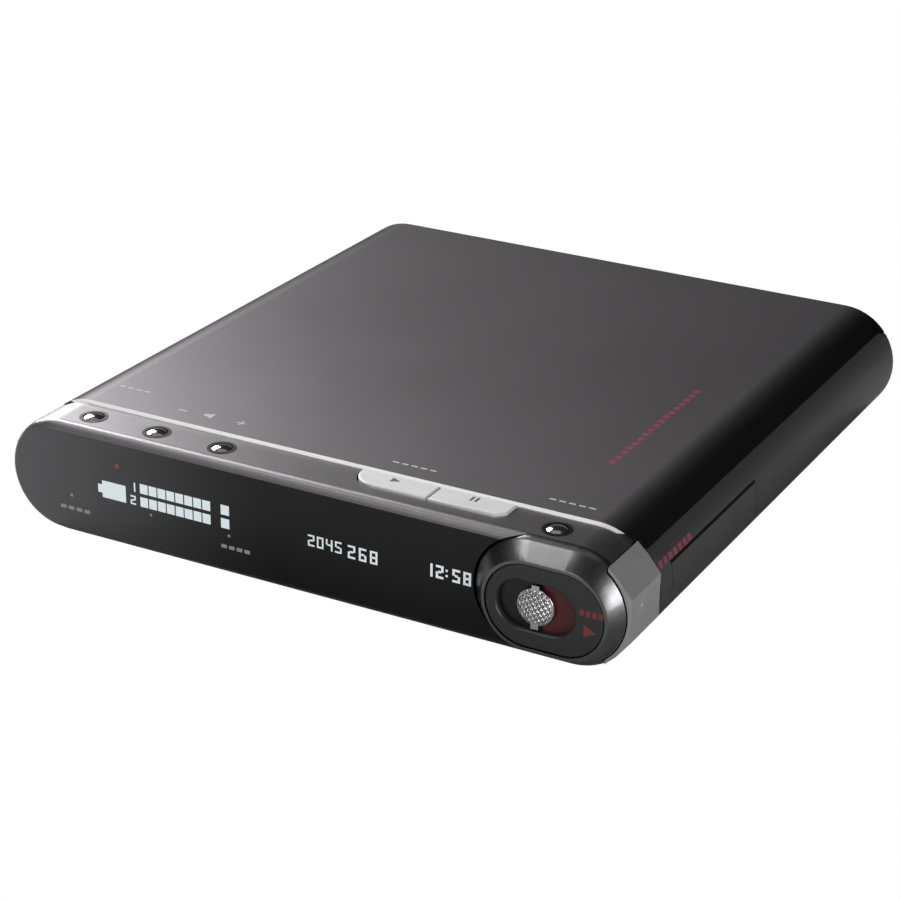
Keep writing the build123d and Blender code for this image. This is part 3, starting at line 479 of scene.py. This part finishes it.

# %% [markdown]
# ## The outer pieces
# The lid is satin gunmetal. Its cut front edge is painted near white as a highlight line, and its side
# roundings are painted darker as a dark reflection. The control strip continues it over the front edge,
# where it turns into the dark display window, so that the window's own material changes from metal to
# smoked glass at a line just under the edge. The smoke is painted lighter towards the left end as a
# reflection.

# %% Materials of the outer pieces
lid_low, lid_high = span("top_lid")
face_low, face_high = span("display_window")
FRONT = face_low[1]
FRONT_TOP = face_high[2]
LID_TOP = lid_high[2]
WIDE = cad_high[0] / MM
SIDE_RADIUS = LID_TOP / 2
ARC_X = WIDE - SIDE_RADIUS


def anodised_lid():
    """Satin gunmetal anodising, with a painted dark reflection on the side roundings and a painted
    near-white highlight line on the cut front edge.
    """
    paint = Paint("anodised_lid")
    frost = paint.noise(0.12, 3.0, 0.6)
    cloud = paint.noise(22.0, 2.0)
    # painted highlight: the front chamfer is coloured near white and made less metallic, as a bright
    # highlight line
    painted_edge_highlight = (1 - (paint.y - lid_low[1]).smooth(0.30, 0.38)) * (paint.z - LID_TOP).smooth(-0.75, -0.65)
    # painted dark reflection: the base colour falls to near black over the side roundings
    painted_flank_reflection = (abs(paint.x) - ARC_X).smooth(-0.35, 3.65)
    satin = paint.shade((0.22, 0.207, 0.22), frost * 0.25 + 0.38)
    base = paint.mix(painted_edge_highlight, paint.mix(painted_flank_reflection, satin, (0.045, 0.043, 0.045, 1)),
                     (0.86, 0.84, 0.85, 1))
    rough = 0.36 + frost * 0.06 + cloud * 0.05 + painted_edge_highlight * 0.1
    return paint.surface(base, rough, 0.92 - painted_edge_highlight * 0.5, paint.bump(frost, 0.004),
                         {"Specular Tint": (0.3, 0.3, 0.3, 1)})


def strip_metal():
    """The control strip: the lid's anodising with drawn lines along it."""
    paint = Paint("strip_metal")
    lines = paint.noise(0.1, 3.0, 0.6, along=(0.04, 1, 1))
    base = paint.shade((0.2, 0.188, 0.2), lines * 0.3 + 0.36)
    return paint.surface(base, 0.3 + lines * 0.1, 0.92, paint.bump(lines, 0.003))


def display_front():
    """Metal over the top rounding, smoked gloss below it, with a painted reflection that makes the smoke
    lighter towards the left end.
    """
    paint = Paint("display_front")
    lines = paint.noise(0.1, 3.0, 0.6, along=(0.04, 1, 1))
    ripple = paint.noise(3.5, 2.0)
    metal = (paint.z - (FRONT_TOP - 0.95)).smooth(-0.06, 0.06)
    # painted reflection: the smoke's base colour is lighter towards the left end, standing in for the pale
    # table that the glass mirrors
    painted_reflection_left = 1 - paint.x.smooth(-46.0, -2.0)
    smoke_with_reflection = paint.mix(painted_reflection_left, (0.004, 0.004, 0.0045, 1), (0.12, 0.121, 0.128, 1))
    film = paint.mix(ripple * 0.2, smoke_with_reflection, (0.02, 0.02, 0.022, 1))
    base = paint.mix(metal, film, paint.shade((0.2, 0.188, 0.2), lines * 0.3 + 0.36))
    return paint.surface(base, 0.16 + metal * 0.26 + lines * 0.03, metal * 0.8,
                         paint.bump(lines * metal, 0.003), {"Specular IOR Level": 0.3})


def shell_plastic(name="shell_plastic"):
    """Dark satin paint over the moulded case."""
    return moulded(name, (0.04, 0.04, 0.042), 0.42, 0.16, 0.005)


def pod_metal():
    """Dark nickel, drawn round the pod's flank."""
    paint = Paint("pod_metal")
    lines = paint.noise(0.09, 4.0, 0.65, along=(1, 0.03, 1))
    cloud = paint.noise(5.0, 2.0)
    base = paint.shade((0.19, 0.192, 0.196), lines * 0.5 + 0.15)
    return paint.surface(base, 0.2 + lines * 0.14 + cloud * 0.05, 1.0, paint.bump(lines, 0.003))


knob_low, knob_high = span("rec_knob")
KNOB_X = (knob_low[0] + knob_high[0]) / 2
KNOB_Z = (knob_low[2] + knob_high[2]) / 2
POD_FRONT = knob_low[1]


def carriage_red():
    """Red enamel to the right of the knob, and near black to its left as painted shade of the recess."""
    paint = Paint("carriage_red")
    pores = paint.noise(0.2, 2.0)
    right = (paint.x - KNOB_X).smooth(0.6, 0.9)
    # painted shade: left of the knob the carriage is near black, standing in for the shade inside the recess
    base = paint.mix(right, (0.004, 0.004, 0.004, 1), paint.shade((0.095, 0.01, 0.014), pores * 0.4 + 0.2))
    return paint.surface(base, 0.35 + pores * 0.1, 0.0, paint.bump(pores, 0.01))


finishes = {
    "top_lid": anodised_lid(),
    "control_strip": strip_metal(),
    "display_window": display_front(),
    "bottom_shell": shell_plastic(),
    "battery_door": shell_plastic("door_plastic"),
    "rec_pod": pod_metal(),
    "rec_face": moulded("face_plastic", (0.024, 0.026, 0.026), 0.4, 0.12, 0.004),
    "rec_carriage": carriage_red(),
    "open_slide": cast_satin("slide_metal", (0.46, 0.47, 0.47), 0.38, 0.5),
    "hold_slide": cast_satin("hold_metal", (0.5, 0.51, 0.51), 0.33, 0.8),
    "button_rings": brushed("ring_metal", (0.05, 0.05, 0.052), 0.25),
    "play_key": brushed("play_metal", (0.93, 0.94, 0.95), 0.42, grain=0.1, metallic=0.12),
    "pause_key": brushed("pause_metal", (0.93, 0.94, 0.95), 0.42, grain=0.1, metallic=0.12),
}
print("outer finishes:", len(finishes))

# %% [markdown]
# ## What the case hides
# Behind the lid sit the disc holder, the optical deck and its motors, and below them the boards and
# the battery. They come from the construction as they are and only need their own finishes.

# %% Materials of the inner pieces
def laminate(name, colour):
    """Circuit board: solder resist over copper tracks that run in both directions."""
    paint = Paint(name)
    track_x = abs(paint.noise(1.1, 0.0, along=(0.12, 1, 1)) - 0.5) < 0.03
    track_y = abs(paint.noise(1.3, 0.0, along=(1, 0.12, 1)) - 0.5) < 0.025
    pad = paint.cells(2.4) < 0.13
    weave = paint.noise(0.25, 2.0)
    copper = paint.mix(pad, tuple(2.2 * c for c in colour) + (1,), (0.75, 0.55, 0.2, 1))
    tracks = track_x.either(track_y).either(pad)
    base = paint.mix(tracks, paint.shade(colour, weave * 0.3 + 0.3), copper)
    return paint.surface(base, 0.36 + weave * 0.1, pad * 0.9, paint.bump(tracks + weave * 0.2, 0.02))


def stamped(name, colour=(0.42, 0.42, 0.43), direction=(1, 0.05, 1)):
    """Cold-rolled sheet: faint rolling lines and a dull sheen."""
    return brushed(name, colour, 0.26, direction, 0.3, 0.003)


def battery_sleeve():
    """Shrink film with a plain band across it."""
    paint = Paint("battery_sleeve")
    low, high = span("battery")
    band = abs(paint.x - (low[0] + high[0]) / 2) < 3.0
    film = paint.noise(0.6, 3.0)
    base = paint.mix(band, paint.shade((0.05, 0.06, 0.09), film * 0.4 + 0.2), (0.5, 0.5, 0.48, 1))
    return paint.surface(base, 0.28 + film * 0.12, 0.0, paint.bump(film, 0.02))


def ribbon_film():
    """Flexible circuit: amber film over parallel copper lines."""
    paint = Paint("ribbon_film")
    film = paint.noise(0.5, 2.0)
    stripes = paint.node("ShaderNodeTexWave", {"bands_direction": "X"},
                         {"Vector": paint.place, "Scale": 700.0, "Distortion": 0.0}, out="Fac")
    base = paint.mix(stripes, (0.22, 0.07, 0.01, 1), (0.4, 0.16, 0.04, 1))
    return paint.surface(base, 0.3 + film * 0.1, 0.0, paint.bump(stripes, 0.01))


def coated_lens():
    """Dark glass with a violet coating that fades to its rim."""
    paint = Paint("coated_lens")
    centre = (np.add(*span("objective_lens")) / 2)
    away = ((paint.x - centre[0]) ** 2 + (paint.y - centre[1]) ** 2) ** 0.5
    base = paint.mix(away.smooth(0.6, 1.9), (0.03, 0.015, 0.09, 1), (0.015, 0.02, 0.03, 1))
    return paint.surface(base, 0.04 + away.smooth(1.2, 1.9) * 0.2, 0.0)


black_inner = moulded("inner_plastic", (0.03, 0.03, 0.032), 0.5)
steel = stamped("bare_steel")
motor_can = brushed("motor_can", (0.5, 0.5, 0.51), 0.22, (1, 1, 0.05), 0.2)
by_slot = {
    "inner_plastic": black_inner,
    "bare_steel": steel,
    "motor_can": motor_can,
    "ring_metal": brushed("screw_metal", (0.16, 0.16, 0.165), 0.25),
    "display_glass": gloss("display_glass", (0.01, 0.012, 0.014)),
    "board_laminate": laminate("board_laminate", (0.012, 0.05, 0.03)),
    "chip_resin": moulded("chip_resin", (0.02, 0.02, 0.021), 0.55, 0.1),
    "battery_sleeve": battery_sleeve(),
    "gold_contact": polished("gold_contact", (0.75, 0.5, 0.16), 0.18),
    "damper_rubber": moulded("damper_rubber", (0.015, 0.015, 0.015), 0.7, 0.3, 0.02),
    "ribbon_film": ribbon_film(),
    "lens_glass": coated_lens(),
}
print("inner finishes:", len(by_slot))

# %% [markdown]
# ## Soft shading for the solids
# The construction arrives as separate flat triangles. `refine` makes a copy that shares its points,
# so that light slides evenly over the roundings, while the real corners stay crisp.

# %% Smooth copies
def refine(node, sharp=28):
    """A copy of a solid with shared points and even shading, standing in for it on the same body."""
    mesh = nodes[node].data.copy()
    shape = bmesh.new()
    shape.from_mesh(mesh)
    bmesh.ops.remove_doubles(shape, verts=shape.verts, dist=1e-6)
    shape.to_mesh(mesh)
    shape.free()
    if "custom_normal" in mesh.attributes:
        mesh.attributes.remove(mesh.attributes["custom_normal"])
    mesh.polygons.foreach_set("use_smooth", np.full(len(mesh.polygons), True))
    mesh.set_sharp_from_angle(angle=math.radians(sharp))
    piece = bpy.data.objects.new(node + "_finish", mesh)
    bpy.context.scene.collection.objects.link(piece)
    even = piece.modifiers.new("even_shading", "WEIGHTED_NORMAL")
    even.keep_sharp = True
    even.weight = 100
    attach(piece, nodes[node]["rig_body"])
    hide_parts(node)
    return piece


def finish_with(piece, material):
    piece.data.materials.clear()
    piece.data.materials.append(material)


smooth_nodes = list(finishes) + ["headphone_jack", "microphone_jack", "line_in_jack", "turntable",
                                 "spindle_motor", "sled_motor", "objective_lens", "lead_screw",
                                 "guide_rails", "bottom_screws"]
for node in smooth_nodes:
    finish_with(refine(node), finishes.get(node) or by_slot[slots[node]])
for node, solid in nodes.items():
    if node not in smooth_nodes and slots[node] in by_slot:
        finish_with(solid, by_slot[slots[node]])
print("smooth copies:", len(smooth_nodes))

# %% [markdown]
# ## Things to press and turn
# Each button is turned like a lens: a flange, a stem and a dome whose height falls off as a power of
# the radius. The recording knob is a shallower dome cut by two sets of crossing grooves, which leave
# rows of small beads for the fingertip.

# %% Buttons
BUTTON_BODY = {"menu_button": "menu", "volume_down_button": "volume_down",
               "volume_up_button": "volume_up", "mark_button": "mark"}
DOME_RISE = 0.30
STEM_RADIUS = 1.15
FLANGE_THICK = 0.3


def domed_button(node):
    """A flange, a stem, and a dome: height = top - rise * (r / R)^2.4, with r / R from 0.02 to 1."""
    low, high = span(node)
    centre = (low + high) / 2
    flange, flange_top = (high[0] - low[0]) / 2, low[2] + FLANGE_THICK
    ring = np.linspace(1, 0.02, 14)
    dome = [(STEM_RADIUS * r, high[2] - DOME_RISE * r ** 2.4) for r in ring]
    profile = [(0.4, low[2]), (flange, low[2]), (flange, flange_top), (STEM_RADIUS, flange_top),
               (STEM_RADIUS, high[2] - DOME_RISE - 0.03)] + dome
    points, faces = lathe(profile, (centre[0], centre[1], 0))
    button = make(node + "_dome", points, faces, BUTTON_BODY[node], slots[node])
    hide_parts(node)
    return button


chrome = polished("button_chrome", (0.72, 0.72, 0.74), 0.1)
for node in BUTTON_BODY:
    finish_with(domed_button(node), chrome)
print("buttons:", len(BUTTON_BODY))


# %% Recording knob
KNOB_RADIUS = 2.2
KNOB_SET_BACK = 0.36        # the knob's rim behind the front of its bar
KNOB_CROWN = 0.2
BEAD_PITCH = 0.52
BEAD_HEIGHT = 0.16
BEAD_TILT = math.radians(35)
KNOB_BAR_WIDTH = 0.9
KNOB_BAR_THICK = 0.3


def knurled_knob():
    """A round dome under a product of two cosines, turned 35 degrees, that makes rows of beads.

    Front = rim + crown * (1 - (r/R)^2) + bead * |cos(pi p / pitch)|^0.5 * |cos(pi q / pitch)|, where p
    and q are measured along the two directions of the grooves. The bead height fades out at the rim.
    """
    rings, around = 90, 300
    r = np.concatenate([[KNOB_RADIUS, KNOB_RADIUS], np.linspace(KNOB_RADIUS - 0.04, 0.03, rings)])
    a = np.linspace(0, 2 * np.pi, around, endpoint=False)
    x, z = r[:, None] * np.cos(a), r[:, None] * np.sin(a)
    p = x * math.cos(BEAD_TILT) + z * math.sin(BEAD_TILT)
    q = z * math.cos(BEAD_TILT) - x * math.sin(BEAD_TILT)
    crown = KNOB_CROWN * (1 - (r / KNOB_RADIUS) ** 2)[:, None]
    fade = np.clip((KNOB_RADIUS - 0.12 - r) / 0.2, 0, 1)[:, None]
    ridge, cross = np.abs(np.cos(np.pi * p / BEAD_PITCH)), np.abs(np.cos(np.pi * q / BEAD_PITCH))
    bead = BEAD_HEIGHT * fade * ridge ** 0.5 * cross
    front = POD_FRONT + KNOB_SET_BACK - crown - bead
    front[0], front[1] = knob_high[1], POD_FRONT + KNOB_SET_BACK + 0.06
    grid = np.stack([KNOB_X + x, front, KNOB_Z + z], axis=-1)
    return skin(grid)


def box(x, y, z):
    """Six faces between the low and high value on each axis."""
    corners = np.array([[x[i], y[j], z[k]] for i in (0, 1) for j in (0, 1) for k in (0, 1)])
    return corners, [[0, 1, 3, 2], [4, 6, 7, 5], [0, 4, 5, 1], [2, 3, 7, 6], [0, 2, 6, 4], [1, 5, 7, 3]]


bar_faces = box((KNOB_X - KNOB_BAR_WIDTH / 2, KNOB_X + KNOB_BAR_WIDTH / 2),
                (knob_high[1] - KNOB_BAR_THICK, knob_high[1]), (knob_low[2], knob_high[2]))
knob = make("knurled_knob", *knurled_knob(), "rec_slider", slots["rec_knob"], sharp=60)
knob_bar = make("knob_bar", *bar_faces, "rec_slider", slots["rec_knob"], smooth=False)
finish_with(knob, polished("knob_chrome", (0.66, 0.66, 0.67), 0.2))
finish_with(knob_bar, chrome)
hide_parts("rec_knob")
print("knob at", round(KNOB_X, 2), round(KNOB_Z, 2))

# %% [markdown]
# ## Marks
# Marks are thin slabs laid on a surface by a `place` function, which turns flat (u, v) outlines into
# points at a given height above it: the flat display front, the flat lid, or the curve of the side.
# The display shows plain seven-segment figures, so every digit is a handful of bars.

# %% Where marks can lie
MARK_RISE = 0.015


def on_front(u, v, height):
    """(x, z) on the display front, rising towards the viewer."""
    return np.stack([u, np.full_like(u, FRONT - height), v], axis=-1)


def on_top(level):
    """(x, y) on a level surface."""
    def place(u, v, height):
        return np.stack([u, v, np.full_like(u, level + height)], axis=-1)
    return place


def on_side(u, v, height):
    """(y, degrees above the horizontal) on the rounded right side."""
    angle = np.radians(v)
    reach = SIDE_RADIUS + height
    return np.stack([ARC_X + reach * np.cos(angle), u, SIDE_RADIUS + reach * np.sin(angle)], axis=-1)


def bar(u0, v0, u1, v1):
    """A rectangle from corner to corner."""
    return np.array([[u0, v0], [u1, v0], [u1, v1], [u0, v1]])


def disc(u, v, radius, steps=24):
    a = np.linspace(0, 2 * np.pi, steps, endpoint=False)
    return np.stack([u + radius * np.cos(a), v + radius * np.sin(a)], axis=-1)


SEGMENT_GAP = 0.02
SEGMENTS = {"0": "abcdef", "1": "bc", "2": "abged", "3": "abgcd", "4": "fgbc", "5": "afgcd",
            "6": "afgedc", "7": "abc", "8": "abcdefg", "9": "abcdfg", ":": "xy", "-": "g"}


def figures(text, u, v, width, height, pitch, stroke):
    """Seven-segment figures, the first with its lower left corner at (u, v).

    A level segment runs the full width, or stops a hair short of an upright one that is lit.
    """
    outlines = []
    for i, sign in enumerate(text):
        left, right_edge = u + i * pitch, u + i * pitch + width
        middle, top = v + height / 2, v + height
        upper, lower = middle + SEGMENT_GAP / 2, middle - SEGMENT_GAP / 2
        short = {k: (stroke + SEGMENT_GAP) * (k in SEGMENTS[sign]) for k in "bcef"}
        bars = {"a": (left + short["f"], top - stroke, right_edge - short["b"], top),
                "d": (left + short["e"], v, right_edge - short["c"], v + stroke),
                "g": (left + max(short["e"], short["f"]), middle - stroke / 2,
                      right_edge - max(short["b"], short["c"]), middle + stroke / 2),
                "f": (left, upper, left + stroke, top),
                "b": (right_edge - stroke, upper, right_edge, top),
                "e": (left, v, left + stroke, lower),
                "c": (right_edge - stroke, v, right_edge, lower),
                "x": (left + width / 2 - stroke / 2, v + height * 0.25, left + width / 2 + stroke / 2,
                      v + height * 0.25 + stroke),
                "y": (left + width / 2 - stroke / 2, v + height * 0.65, left + width / 2 + stroke / 2,
                      v + height * 0.65 + stroke)}
        outlines += [bar(*bars[k]) for k in SEGMENTS[sign]]
    return outlines


def mark(name, outlines, place, body, slot, material, rise=MARK_RISE):
    points, faces = slab(outlines, place, rise, sink=0.03)
    piece = make(name, points, faces, body, slot, smooth=False)
    finish_with(piece, material)
    return piece


print("mark helpers ready")

# %% [markdown]
# ### On the display
# A battery sign, two rows of eight level blocks with a pair set apart for overload, a track number
# and a clock.

# %% Display marks
lit_blue = ink("lit_segments", (0.56, 0.7, 0.8), 0.62)
printed_grey = ink("printed_grey", (0.34, 0.35, 0.36))
red_lamp = ink("red_lamp", (0.30, 0.07, 0.05), 0.05)

BLOCK_ROWS = (8.98, 7.30)       # tops of the two rows of level blocks
BLOCK_LEFT = -21.95
BLOCK_PITCH = 1.24
BLOCK_WIDTH = 1.08
BLOCK_HEIGHT = 1.22
OVERLOAD_X = (-10.75, -9.63)

blocks = []
for row_top in BLOCK_ROWS:
    for i in range(8):
        left = BLOCK_LEFT + BLOCK_PITCH * i
        blocks.append(bar(left, row_top - BLOCK_HEIGHT, left + BLOCK_WIDTH, row_top))
    blocks.append(bar(OVERLOAD_X[0], row_top - BLOCK_HEIGHT, OVERLOAD_X[1], row_top))
blocks.append(np.array([[-27.95, 6.6], [-27.35, 6.6], [-27.35, 6.05], [-24.0, 6.05], [-24.0, 8.2],
                        [-27.35, 8.2], [-27.35, 7.65], [-27.95, 7.65]]))
blocks += figures("1", -23.35, 7.78, 0.75, 1.15, 1.0, 0.2)
blocks += figures("2", -23.35, 6.10, 0.75, 1.15, 1.0, 0.2)
blocks += figures("2045", 0.9, 6.65, 0.85, 1.4, 1.18, 0.2)
blocks += figures("268", 6.1, 6.4, 0.95, 1.6, 1.42, 0.24)
blocks += figures("12", 15.9, 6.75, 0.95, 1.6, 1.35, 0.28)
blocks += figures(":", 18.3, 6.75, 0.6, 1.6, 1.0, 0.26)
blocks += figures("58", 19.3, 6.75, 0.95, 1.6, 1.35, 0.28)
mark("display_signs", blocks, on_front, "base", slots["display_panel"], lit_blue)

dots = [disc(-31.9, 5.22, 0.2), disc(-20.53, 5.31, 0.18), disc(-9.71, 5.23, 0.18)]
dashes = [bar(-33.6 + 1.15 * i, 3.3, -32.8 + 1.15 * i, 3.75) for i in range(4)]
dashes += [bar(-10.8 + 1.05 * i, 3.55, -10.05 + 1.05 * i, 4.0) for i in range(4)]
mark("display_prints", dots + dashes, on_front, "base", slots["display_window"], printed_grey)
mark("charge_lamp", [disc(-25.1, 10.5, 0.32)], on_front, "base", slots["display_window"], red_lamp)
print("display outlines:", len(blocks) + len(dots) + len(dashes))


# %% Marks on the lid, keys, pod and side
def triangle(u, v, size, way=1):
    """A triangle pointing along +u (way 1) or -u (way -1)."""
    return np.array([[u - way * size / 2, v - size / 2], [u + way * size / 2, v],
                     [u - way * size / 2, v + size / 2]])


KEY_TOP = span("play_key")[1][2]
pale_print = ink("pale_print", (0.45, 0.44, 0.45))
arm, half = 0.6, 0.125
plus = np.array([[-arm, -half], [-half, -half], [-half, -arm], [half, -arm], [half, -half], [arm, -half],
                 [arm, half], [half, half], [half, arm], [-half, arm], [-half, half], [-arm, half]])
speaker = np.array([[-19.4, -31.8], [-18.9, -31.8], [-18.2, -32.2], [-18.2, -30.8], [-18.9, -31.2],
                    [-19.4, -31.2]])
lid_print = [bar(-22.9, -31.85, -21.7, -31.6), plus + np.array([-14.25, -31.475]), speaker]
for dash_x, dash_y, count in ((-33.2, -29.3, 4), (6.5, -32.2, 5), (26.2, -32.2, 5)):
    lid_print += [bar(dash_x + 1.2 * i, dash_y, dash_x + 0.8 + 1.2 * i, dash_y + 0.3) for i in range(count)]
mark("lid_prints", lid_print, on_top(LID_TOP), "lid", slots["top_lid"], pale_print)

deep_red = ink("deep_red", (0.2, 0.02, 0.04))
red_dashes = [bar(27.75, y, 28.55, y + 0.95) for y in np.arange(-20.2, 4.0, 1.5)]
mark("lid_red_dashes", red_dashes, on_top(LID_TOP), "lid", slots["top_lid"], deep_red)

key_ink = ink("key_ink", (0.08, 0.08, 0.085))
mark("play_sign", [triangle(9.3, -36.3, 1.1)], on_top(KEY_TOP), "play", slots["play_key"], key_ink)
mark("pause_sign", [bar(18.75, -36.8, 19.05, -35.7), bar(19.35, -36.8, 19.65, -35.7)],
     on_top(KEY_TOP), "pause", slots["pause_key"], key_ink)

FACE_FRONT = span("rec_face")[0][1]


def on_face(u, v, height):
    """(x, z) on the pod's face plate."""
    return np.stack([u, np.full_like(u, FACE_FRONT - height), v], axis=-1)


face_signs = [bar(35.3 + 0.75 * i, 7.6, 35.85 + 0.75 * i, 8.3) for i in range(4)]
face_signs.append(triangle(36.6, 5.85, 1.5))
mark("face_red_signs", face_signs, on_face, "base", slots["rec_face"], ink("face_red", (0.19, 0.035, 0.035)))

SLIDE_X = span("open_slide")[1][0]


def on_slide(u, v, height):
    """(y, z) on the slide's flat side."""
    return np.stack([np.full_like(u, SLIDE_X + height), u, v], axis=-1)


mark("slide_dot", [disc(-38.7, 8.3, 0.28)], on_slide, "open_slider", slots["open_slide"], pale_print)
# painted glow: the printed red marks on the side emit light so that they stay bright on the dark shell
glowing_side_red = ink("glowing_side_red", (0.16, 0.035, 0.05), 0.35)
side_signs = [bar(y, 21.0, y + 0.85, 27.5) for y in np.arange(-33.2, -24.5, 1.3)]
mark("side_red_signs", side_signs, on_side, "base", slots["bottom_shell"], glowing_side_red)
print("prints ready")
